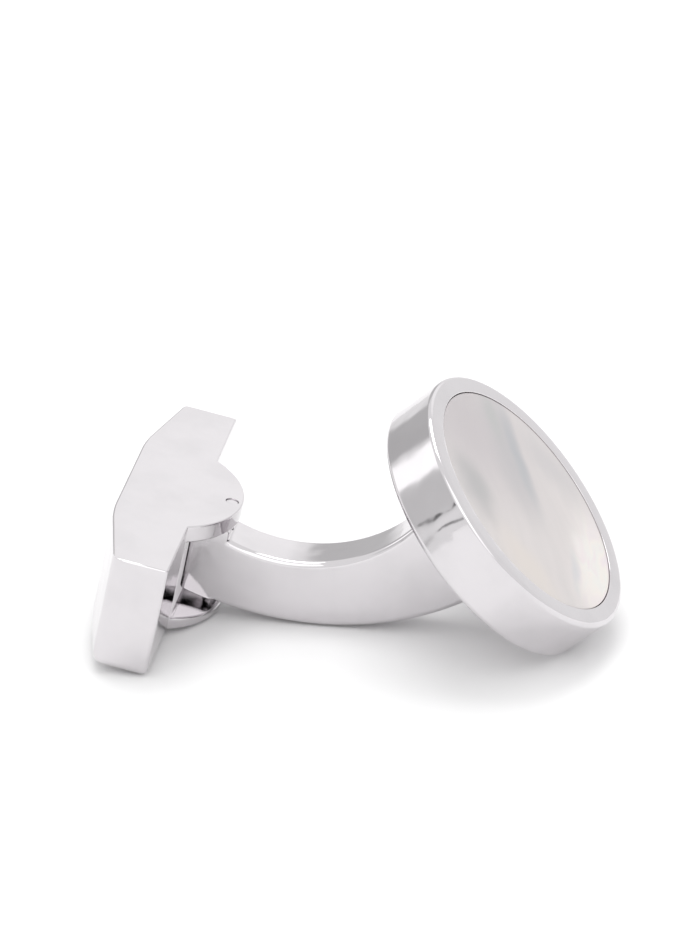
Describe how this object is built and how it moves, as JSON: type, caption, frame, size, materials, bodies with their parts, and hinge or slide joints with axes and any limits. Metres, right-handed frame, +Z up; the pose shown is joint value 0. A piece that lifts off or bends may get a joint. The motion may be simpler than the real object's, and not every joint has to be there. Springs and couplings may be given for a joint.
{
  "type": "cufflink",
  "caption": "Round cufflink with a pale iridescent inlay in a flat metal rim, a curved post and a solid toggle bar that swivels on a pin.",
  "frame": {"origin": "on the surface that the cufflink lies on, under the middle of its bounding box, posed as pictured", "axes": "+X from the toggle towards the round setting, +Z up, +Y across, along the toggle's length"},
  "size_m": [0.0304, 0.0208, 0.015],
  "materials": {
    "metal": "polished rhodium plate on brass",
    "pearl": "polished mother of pearl"
  },
  "bodies": {
    "setting_body": {"setting": "metal", "inlay": "pearl"},
    "toggle_body": {"toggle": "metal", "hinge_pin": "metal"}
  },
  "joints": [
    {"name": "toggle_swivel", "type": "hinge", "parent": "setting_body", "child": "toggle_body", "pos_m": [-0.00908, 0.00022, 0.00017], "axis": [0.2062, -0.0518, 0.9771], "range_deg": [-90, 90]}
  ]
}
